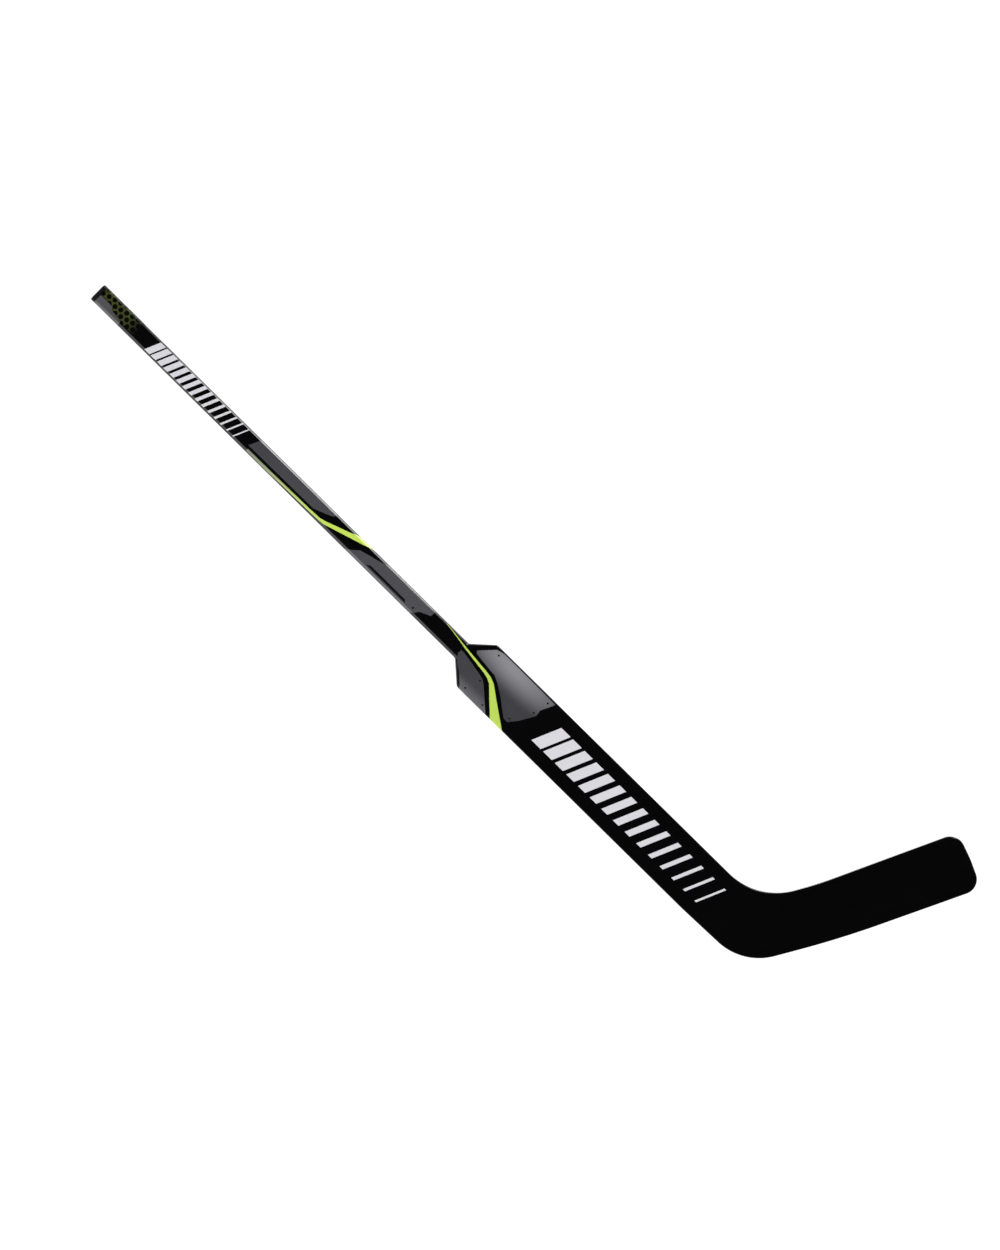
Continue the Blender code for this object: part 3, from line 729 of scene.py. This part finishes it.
lower_grey = printed_ink("dark_to_middle_grey_ink", "#403F44", "#67666B", (820, -22), (820, -42))
lower_panel = panel(
    [(765, -6.5), (771, -13.6), (778.5, -19.6), (786.5, -25.6), (793.5, -32), (801, -39.3), (804, -45),
     (806, -52)],
    [(766, 0.6), (772.5, 0.2), (795, -3.5), (810, -6.3), (818, -8.2), (825, -12.5), (848, -33), (868, -52)],
    PANEL_STEP[::-1])
print_on_both("lower_paddle_panel", lower_panel, lower_grey)

# The grey is painted lighter, towards silver, round a spot near the upper shoulder: a painted highlight.
highlight_painted_grey_ink = printed_ink("grey_ink_with_painted_highlight", "#909094", "#3B3A3F", (842, 35.7), (138, 40.6), spot=True)
upper_panel = panel(
    [(786, 12.6), (814.5, 9.3), (828, 8.1), (839.4, 2.6), (856, -7.9), (882, -27.9), (890, -28.8)],
    [(783, 16.4), (793, 26.8), (804, 38.4), (817, 41.4), (850, 41.3), (890, 41.0), (924.0, 40.6)],
    PADDLE_STEP, start=np.linspace((786, 12.6), (783, 16.4), 5),
    end=[(890, -28.8), (901.5, -14.7), (915, 8.7), (913.5, 18.6), (924.0, 40.6)])
print_on_both("upper_paddle_panel", upper_panel, highlight_painted_grey_ink)

# %% Fine line along the second panel
LINE_LIFT = 0.07

line_ink = printed_ink("black_line_ink", "#08080A", "#0A0A0C", (575, 0), (657, 0))
fine_line = panel([(574, -9.0), (657, -8.9)], [(580, -4.9), (652, -4.9)], STRIPE_STEP)
print_on_both("fine_shaft_line", fine_line, line_ink, lift=LINE_LIFT)

# %% [markdown]
# A small dark stud is printed in the corners of the panels, like the head of a pin. It is a disc, slightly
# domed so that it catches the light: the height falls with the square of the distance from its middle.

# %% Corner studs
STUD_RADIUS = 1.6
STUD_DOME = 0.02
STUD_SIDES = 20
STUD_RINGS = 3
STUD_PLACES = [(669.6, -5.8), (811.5, 33.8), (914.0, 34.2), (909.0, 9.5), (889.0, -22.5),
               (809.7, -36.2), (817.8, -12.6), (846.0, -36.3)]

stud_turn = np.linspace(0, 2 * math.pi, STUD_SIDES, endpoint=False)
stud_share = np.linspace(1, 0, STUD_RINGS + 1)
disc = stud_share[:, None] * STUD_RADIUS * direction(stud_turn)[:, None]
studs = np.array(STUD_PLACES)[:, None, None] + disc
stud_ink = printed_ink("black_stud_ink", "#0B0B0C", "#111113", (670, 0), (915, 0))
stud_lift = LINE_LIFT + STUD_DOME * (1 - stud_share**2)
print_on_both("panel_studs", studs, stud_ink, closed=(True, False), lift=stud_lift)

# %% [markdown]
# The shaft and the paddle each carry a row of slanted off-white bars, evenly spaced, that grow narrower
# down the stick. Each bar is a leaning rectangle, and the whole row is one calculation on arrays.

# %% Slanted bars
BAR_LEAN = math.tan(math.radians(23.5))
BAR_COUNT = 15


def bar_row(start, pitch, widths, low, high, grid):
    """Leaning bars: x = start + pitch * number of the bar + share of its width + lean * (girth - low)."""
    along, across = np.linspace(0, 1, grid[0]), np.linspace(low, high, grid[1])
    x = (start + pitch * np.arange(len(widths)))[:, None] + widths[:, None] * along
    x = x[:, :, None] + BAR_LEAN * (across - low)
    return np.stack([x, np.broadcast_to(across, x.shape)], axis=-1)


white_ink = printed_ink("off_white_ink", "#DEDDE3", "#E2E1E7", (110, 0), (1310, 0))
shaft_bars = bar_row(
    start=111, pitch=13.2, widths=np.linspace(10.6, 2.0, BAR_COUNT), low=-12.0, high=12.6, grid=(6, 32))
paddle_bars = bar_row(
    start=935, pitch=24.5, widths=np.linspace(19.5, 3.5, BAR_COUNT), low=-22.0, high=22.4, grid=(10, 12))
print_on_both("shaft_bars", shaft_bars, white_ink)
print_on_both("paddle_bars", paddle_bars, white_ink)

# %% [markdown]
# The top hand holds the shaft just below the cap. There the face has a grip coat with a honeycomb in dull
# olive, beside a plain grey field. The comb could be rows of modelled rings, but its ridges are only a few
# hundredths of a millimetre high, so it is left to the coat's material: three cosine waves, 60 degrees
# apart, add up to a peak in the middle of every cell and to a valley along the ridges between them. Near
# its lower end the comb fades out.

# %% Honeycomb grip coat
CELL_PITCH = 10.0
COMB_TURN = math.radians(15.0)
COMB_CELL = (27.9, 9.7)  # middle of one cell, x and girth
RIDGE_LEVELS = (0.0, -1.05)  # the waves' sum where a ridge starts to rise, and at its top
COMB_FADE = (60.0, 84.0)  # x where the comb starts to fade and where it is gone
GRIP_ROUGHNESS = 0.20

grip_coat_ink, tree, place = new_tree("olive_honeycomb_grip")
cloudy, peel_normal = sprayed_coat(tree, place, GRIP_ROUGHNESS)
along = add_node(tree, "SeparateXYZ", {"Vector": place}).outputs["X"]
girth = add_node(tree, "Attribute", attribute_name="girth").outputs["Fac"]
unrolled = add_node(tree, "CombineXYZ", {"X": along, "Y": girth})
cell_place = in_frame(np.array([*COMB_CELL, 0]))
from_cell = add_node(tree, "VectorMath", {0: unrolled.outputs["Vector"], 1: cell_place}, operation="SUBTRACT")
wave_sum = 0.0
for angle in COMB_TURN + np.radians([30, 90, 150]):  # the cells' rows lie sqrt(3) / 2 of a pitch apart
    wave_number = 4 * math.pi / (math.sqrt(3) * CELL_PITCH * MM) * direction(angle)
    phase = add_node(tree, "VectorMath", {0: from_cell.outputs["Vector"], 1: (*wave_number, 0)},
                     operation="DOT_PRODUCT")
    wave = add_node(tree, "Math", {0: phase.outputs["Value"]}, operation="COSINE")
    wave_sum = add_node(tree, "Math", {0: wave.outputs["Value"], 1: wave_sum}).outputs["Value"]
ridge = add_node(tree, "MapRange", {
    "Value": wave_sum, "From Min": RIDGE_LEVELS[0], "From Max": RIDGE_LEVELS[1]},
    interpolation_type="SMOOTHSTEP")
fade_start, fade_end = ((BUTT_X + x) * MM for x in COMB_FADE)
strength = add_node(tree, "MapRange", {
    "Value": along, "From Min": fade_start, "From Max": fade_end, "To Min": 1.0, "To Max": 0.0})
olive = add_node(tree, "Mix", {
    FACTOR: ridge.outputs["Result"], MIX_A: linear("#040500"), MIX_B: linear("#3E451B")}, data_type="RGBA")
colour = add_node(tree, "Mix", {
    FACTOR: strength.outputs["Result"], MIX_A: linear("#030304"), MIX_B: olive.outputs[MIXED]},
    data_type="RGBA")
relief = add_node(tree, "Bump", {
    "Height": ridge.outputs["Result"], "Normal": peel_normal, "Strength": 0.3, "Distance": 0.1 * MM})
shader = add_node(tree, "BsdfPrincipled", {
    "Base Color": colour.outputs[MIXED], "Roughness": cloudy, "Normal": relief.outputs["Normal"], "IOR": 1.5})
add_node(tree, "OutputMaterial", {"Surface": shader.outputs["BSDF"]})
print(grip_coat_ink.name, "has", len(tree.nodes), "nodes")

# %% Grip coat and grey field
FIELD_EDGE = [(7.5, 0.0), (32.5, -0.2), (36, -4.9), (54, -6.6), (57, -9.5)]
FIELD_BOTTOM = -17.0
COAT_MARGIN = 0.8  # bare lacquer between the field and the coat
COAT_END = (86, -9.0)
COAT_TOP = 19.0

field_x, field_girth = np.transpose(FIELD_EDGE)
coat_edge = np.vstack([np.stack([field_x, field_girth + COAT_MARGIN], axis=-1), [COAT_END]])
coat_top = np.stack([coat_edge[:, 0], np.full(len(coat_edge), COAT_TOP)], axis=-1)
field_bottom = np.stack([field_x, np.full(len(field_x), FIELD_BOTTOM)], axis=-1)
field_ink = printed_ink("plain_grey_ink", "#535357", "#4A4A4E", (10, 0), (57, 0))
print_on_both("grip_coat", panel(coat_edge, coat_top, STRIPE_STEP), grip_coat_ink)
print_on_both("butt_grey_field", panel(field_bottom, FIELD_EDGE, STRIPE_STEP), field_ink)

# %% [markdown]
# Under the skins the stick is wood and foam. Nothing of it shows while the skins are whole, but the pieces
# stay in the model, so each gets its own finish too. Wood is the same formula twice: noise stretched forty
# times along the stick gives grain lines, close for the pale plies of the handle and coarser for the harder
# rails and heel block.

# %% Woods inside
GRAIN_STRETCH = 40.0


def sawn_wood(name, pale, dark, grain_mm):
    """Wood sawn along the stick: noise with its x squeezed by the stretch mixes a pale and a dark tone."""
    wood, tree, place = new_tree(name)
    grain_axes = add_node(tree, "Mapping", {"Vector": place, "Scale": (1 / GRAIN_STRETCH, 1, 1)})
    grain = add_node(tree, "TexNoise", {
        "Vector": grain_axes.outputs["Vector"], "Scale": per_metre(grain_mm),
        "Detail": 5.0, "Distortion": 0.4})
    lines = add_node(tree, "MapRange", {"Value": grain.outputs["Fac"], "From Min": 0.35, "From Max": 0.65})
    colour = add_node(tree, "Mix", {
        FACTOR: lines.outputs["Result"], MIX_A: linear(pale), MIX_B: linear(dark)}, data_type="RGBA")
    dullness = add_node(tree, "MapRange", {"Value": grain.outputs["Fac"], "To Min": 0.50, "To Max": 0.75})
    bump = add_node(tree, "Bump", {"Height": grain.outputs["Fac"], "Strength": 0.3, "Distance": 0.2 * MM})
    shader = add_node(tree, "BsdfPrincipled", {
        "Base Color": colour.outputs[MIXED], "Roughness": dullness.outputs["Result"],
        "Normal": bump.outputs["Normal"], "IOR": 1.5})
    add_node(tree, "OutputMaterial", {"Surface": shader.outputs["BSDF"]})
    return wood


def dress(material, *nodes):
    """Gives a material to CAD nodes that stay in the model."""
    for node in nodes:
        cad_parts[node].data.materials[0] = material
    print(material.name, "on", len(nodes), "nodes")


dress(sawn_wood("sawn_aspen", "#D9C29A", "#B79A6C", 1.2),
      "front_outer_ply", "front_inner_ply", "middle_ply", "back_inner_ply", "back_outer_ply")
dress(sawn_wood("sawn_birch", "#C9A878", "#9C7748", 2.0),
      "upper_paddle_rail", "lower_paddle_rail", "heel_block")

# %% [markdown]
# The rest is filled with rigid foam, whose cut face shows cells about 1 mm across. The blade's edge strips
# are a tough moulded plastic, its spar is pulled carbon fibre with lines along it, and the patches on the
# heel block are woven glass in clear resin, a plain weave with about 2 mm from thread to thread.

# %% Foam and edge strips inside
FOAM_CELL_MM = 1.0
SWIRL_MM = 8.0  # from one swirl to the next, where the plastic flowed into the mould

foam, tree, place = new_tree("rigid_cell_foam")
cells = add_node(tree, "TexVoronoi", {"Vector": place, "Scale": per_metre(FOAM_CELL_MM)})
colour = add_node(tree, "Mix", {
    FACTOR: cells.outputs["Distance"], MIX_A: linear("#B9A877"), MIX_B: linear("#E2D6B0")}, data_type="RGBA")
bump = add_node(tree, "Bump", {"Height": cells.outputs["Distance"], "Strength": 0.6, "Distance": 0.5 * MM})
shader = add_node(tree, "BsdfPrincipled", {
    "Base Color": colour.outputs[MIXED], "Roughness": 0.9, "Normal": bump.outputs["Normal"], "IOR": 1.45})
add_node(tree, "OutputMaterial", {"Surface": shader.outputs["BSDF"]})
dress(foam, "upper_paddle_foam", "lower_paddle_foam", "upper_blade_foam", "lower_blade_foam")

strip, tree, place = new_tree("moulded_abs_strip")
swirl = add_node(tree, "TexNoise", {
    "Vector": place, "Scale": per_metre(SWIRL_MM), "Detail": 3.0, "Distortion": 1.0})
colour = add_node(tree, "Mix", {
    FACTOR: swirl.outputs["Fac"], MIX_A: linear("#4A4A4D"), MIX_B: linear("#5A5A5D")}, data_type="RGBA")
dullness = add_node(tree, "MapRange", {"Value": swirl.outputs["Fac"], "To Min": 0.35, "To Max": 0.55})
shader = add_node(tree, "BsdfPrincipled", {
    "Base Color": colour.outputs[MIXED], "Roughness": dullness.outputs["Result"], "IOR": 1.53})
add_node(tree, "OutputMaterial", {"Surface": shader.outputs["BSDF"]})
dress(strip, "blade_top_strip", "blade_bottom_strip", "blade_toe_strip")

# %% Spar and glass patches inside
FIBRE_MM = 0.8
FIBRE_STRETCH = 50.0
WEAVE_MM = 2.0
WAVE_RATE = 20.0  # radians per unit of length in a wave texture of scale 1

spar, tree, place = new_tree("pulled_carbon_fibre")
fibre_axes = add_node(tree, "Mapping", {
    "Vector": place, "Rotation": (0, 0, math.atan2(blade_along[1], blade_along[0])),
    "Scale": (FIBRE_STRETCH, 1, 1)}, vector_type="TEXTURE")
fibres = add_node(tree, "TexNoise", {
    "Vector": fibre_axes.outputs["Vector"], "Scale": per_metre(FIBRE_MM), "Detail": 4.0})
colour = add_node(tree, "Mix", {
    FACTOR: fibres.outputs["Fac"], MIX_A: linear("#1C1C1F"), MIX_B: linear("#3A3A3E")}, data_type="RGBA")
bump = add_node(tree, "Bump", {"Height": fibres.outputs["Fac"], "Strength": 0.3, "Distance": 0.1 * MM})
shader = add_node(tree, "BsdfPrincipled", {
    "Base Color": colour.outputs[MIXED], "Roughness": 0.4, "Normal": bump.outputs["Normal"], "IOR": 1.55})
add_node(tree, "OutputMaterial", {"Surface": shader.outputs["BSDF"]})
dress(spar, "blade_spar")

glass, tree, place = new_tree("woven_glass_in_resin")
weave_scale = per_metre(WEAVE_MM) * 2 * math.pi / WAVE_RATE
warp, weft = (
    add_node(tree, "TexWave", {"Vector": place, "Scale": weave_scale}, bands_direction=axis) for axis in "XY")
weave = add_node(tree, "Math", {0: warp.outputs["Fac"], 1: weft.outputs["Fac"]}, operation="MULTIPLY")
colour = add_node(tree, "Mix", {
    FACTOR: weave.outputs["Value"], MIX_A: linear("#A9B39E"), MIX_B: linear("#DDE3D3")}, data_type="RGBA")
bump = add_node(tree, "Bump", {"Height": weave.outputs["Value"], "Strength": 0.4, "Distance": 0.2 * MM})
shader = add_node(tree, "BsdfPrincipled", {
    "Base Color": colour.outputs[MIXED], "Roughness": 0.35, "Normal": bump.outputs["Normal"], "IOR": 1.52})
add_node(tree, "OutputMaterial", {"Surface": shader.outputs["BSDF"]})
dress(glass, "front_heel_patch", "back_heel_patch")

# %% [markdown]
# The stick lies on its back on a light table, a white sheet lit from below, so that hardly any shadow falls
# round it. The floor is not part of the stick. It lies just under the stick's back, so that the two faces
# don't share a plane.

# %% Floor
FLOOR_HALF_SIDE = 30.0  # m
FLOOR_DROP = 0.3 * MM
FLOOR_GLOW = 0.85
TOOTH_MM = 2.0  # the sheet's grain, drawn coarser than paper's so that it shows

paper, tree, place = new_tree("glowing_white_sheet")
tooth = add_node(tree, "TexNoise", {"Vector": place, "Scale": per_metre(TOOTH_MM), "Detail": 4.0})
colour = add_node(tree, "Mix", {
    FACTOR: tooth.outputs["Fac"], MIX_A: linear("#A5A5A5"), MIX_B: linear("#A9A9A9")}, data_type="RGBA")
shader = add_node(tree, "BsdfPrincipled", {
    "Base Color": colour.outputs[MIXED], "Roughness": 0.95, "Specular IOR Level": 0.1,
    "Emission Color": (1, 1, 1, 1), "Emission Strength": FLOOR_GLOW})
add_node(tree, "OutputMaterial", {"Surface": shader.outputs["BSDF"]})

unit_square = ((-1, -1), (1, -1), (1, 1), (-1, 1))
floor_corners = [(x * FLOOR_HALF_SIDE, y * FLOOR_HALF_SIDE, -FLOOR_DROP) for x, y in unit_square]
floor_mesh = bpy.data.meshes.new("floor")
floor_mesh.from_pydata(floor_corners, [], [(0, 1, 2, 3)])
floor_mesh.materials.append(paper)
floor = bpy.data.objects.new("floor", floor_mesh)
bpy.context.scene.collection.objects.link(floor)
print("floor of", 2 * FLOOR_HALF_SIDE, "m")

# %% [markdown]
# The light comes from two soft boxes, one on each side of the shaft. A black mirror shows what it faces.
# Straight above, where the camera hangs, it is dark, so the flat faces stay deep black while the rounded
# edges, which face the boxes, draw bright lines along the shaft. The box on the side of the upper edge is
# narrow and strong and the other is wider and softer. Neither stands beside the paddle, so the lines die
# out there. A wide sheet overhead fills the shadows on the floor. It is hidden from mirror rays, as a real
# one would be if the stick were tipped a little, so the lacquer doesn't show it.

# %% Light
UPPER_BOX = {"size": (0.95, 2.9), "place": (-0.93, 3.62, 1.69), "radiance": 5.6}
LOWER_BOX = {"size": (1.4, 4.3), "place": (-1.0, -2.68, 2.97), "radiance": 1.4}
FILL = {"size": (5.0, 5.0), "place": (-0.3, 0.0, 3.0), "radiance": 1.7}
WORLD_LIGHT = (1.0, 0.015)  # at the horizon, where it stands for the white room, and higher up
WORLD_TOP = 0.25  # sine of the height at which the room ends


def add_lamp(name, size, place, radiance):
    """A flat lamp at a place in the frame, turned to the stick. Its power is radiance * pi * area."""
    lamp = bpy.data.lights.new(name, "AREA")
    lamp.shape = "RECTANGLE"
    lamp.size, lamp.size_y = size
    lamp.energy = radiance * math.pi * lamp.size * lamp.size_y
    holder = bpy.data.objects.new(name, lamp)
    holder.location = place
    holder.rotation_euler = (-math.atan2(place[1], place[2]), 0, 0)
    bpy.context.scene.collection.objects.link(holder)
    print(f"{name}: {lamp.energy:.0f} W")
    return holder


add_lamp("upper_soft_box", **UPPER_BOX)
add_lamp("lower_soft_box", **LOWER_BOX)
fill = add_lamp("overhead_fill", **FILL)
fill.visible_glossy = False

world = bpy.data.worlds.new("white_room")
world.use_nodes = True
bpy.context.scene.world = world
tree = world.node_tree
tree.nodes.clear()
way = add_node(tree, "TexCoord").outputs["Generated"]
parts = add_node(tree, "SeparateXYZ", {"Vector": way})
room = add_node(tree, "MapRange", {
    "Value": parts.outputs["Z"], "From Max": WORLD_TOP, "To Min": WORLD_LIGHT[0], "To Max": WORLD_LIGHT[1]},
    interpolation_type="SMOOTHSTEP")
background = add_node(tree, "Background", {"Color": (1, 1, 1, 1), "Strength": room.outputs["Result"]})
add_node(tree, "OutputWorld", {"Surface": background.outputs["Background"]})
bpy.context.scene.view_settings.view_transform = "Standard"

# %% [markdown]
# The camera hangs straight above the stick and is turned so that the shaft runs down to the right, as in
# the picture. A long lens from 5 m away keeps the edges parallel.

# %% Camera
VIEW_CENTRE = (780.6, 67.7)  # point of the stick at the middle of the picture
VIEW_HEIGHT = 1872.8  # how much of the stick's plane the picture's long side covers
VIEW_TURN = math.radians(44.58)
LENS_MM = 100.0
SENSOR_MM = 36.0

camera = bpy.data.cameras.new("camera")
camera.lens = LENS_MM
camera.sensor_width = SENSOR_MM
camera_object = bpy.data.objects.new("camera", camera)
camera_object.location = in_frame(np.array([*VIEW_CENTRE, THICKNESS + VIEW_HEIGHT * LENS_MM / SENSOR_MM]))
camera_object.rotation_euler = (0, 0, VIEW_TURN)
bpy.context.scene.collection.objects.link(camera_object)
bpy.context.scene.camera = camera_object
print("camera at", np.round(camera_object.location, 3))
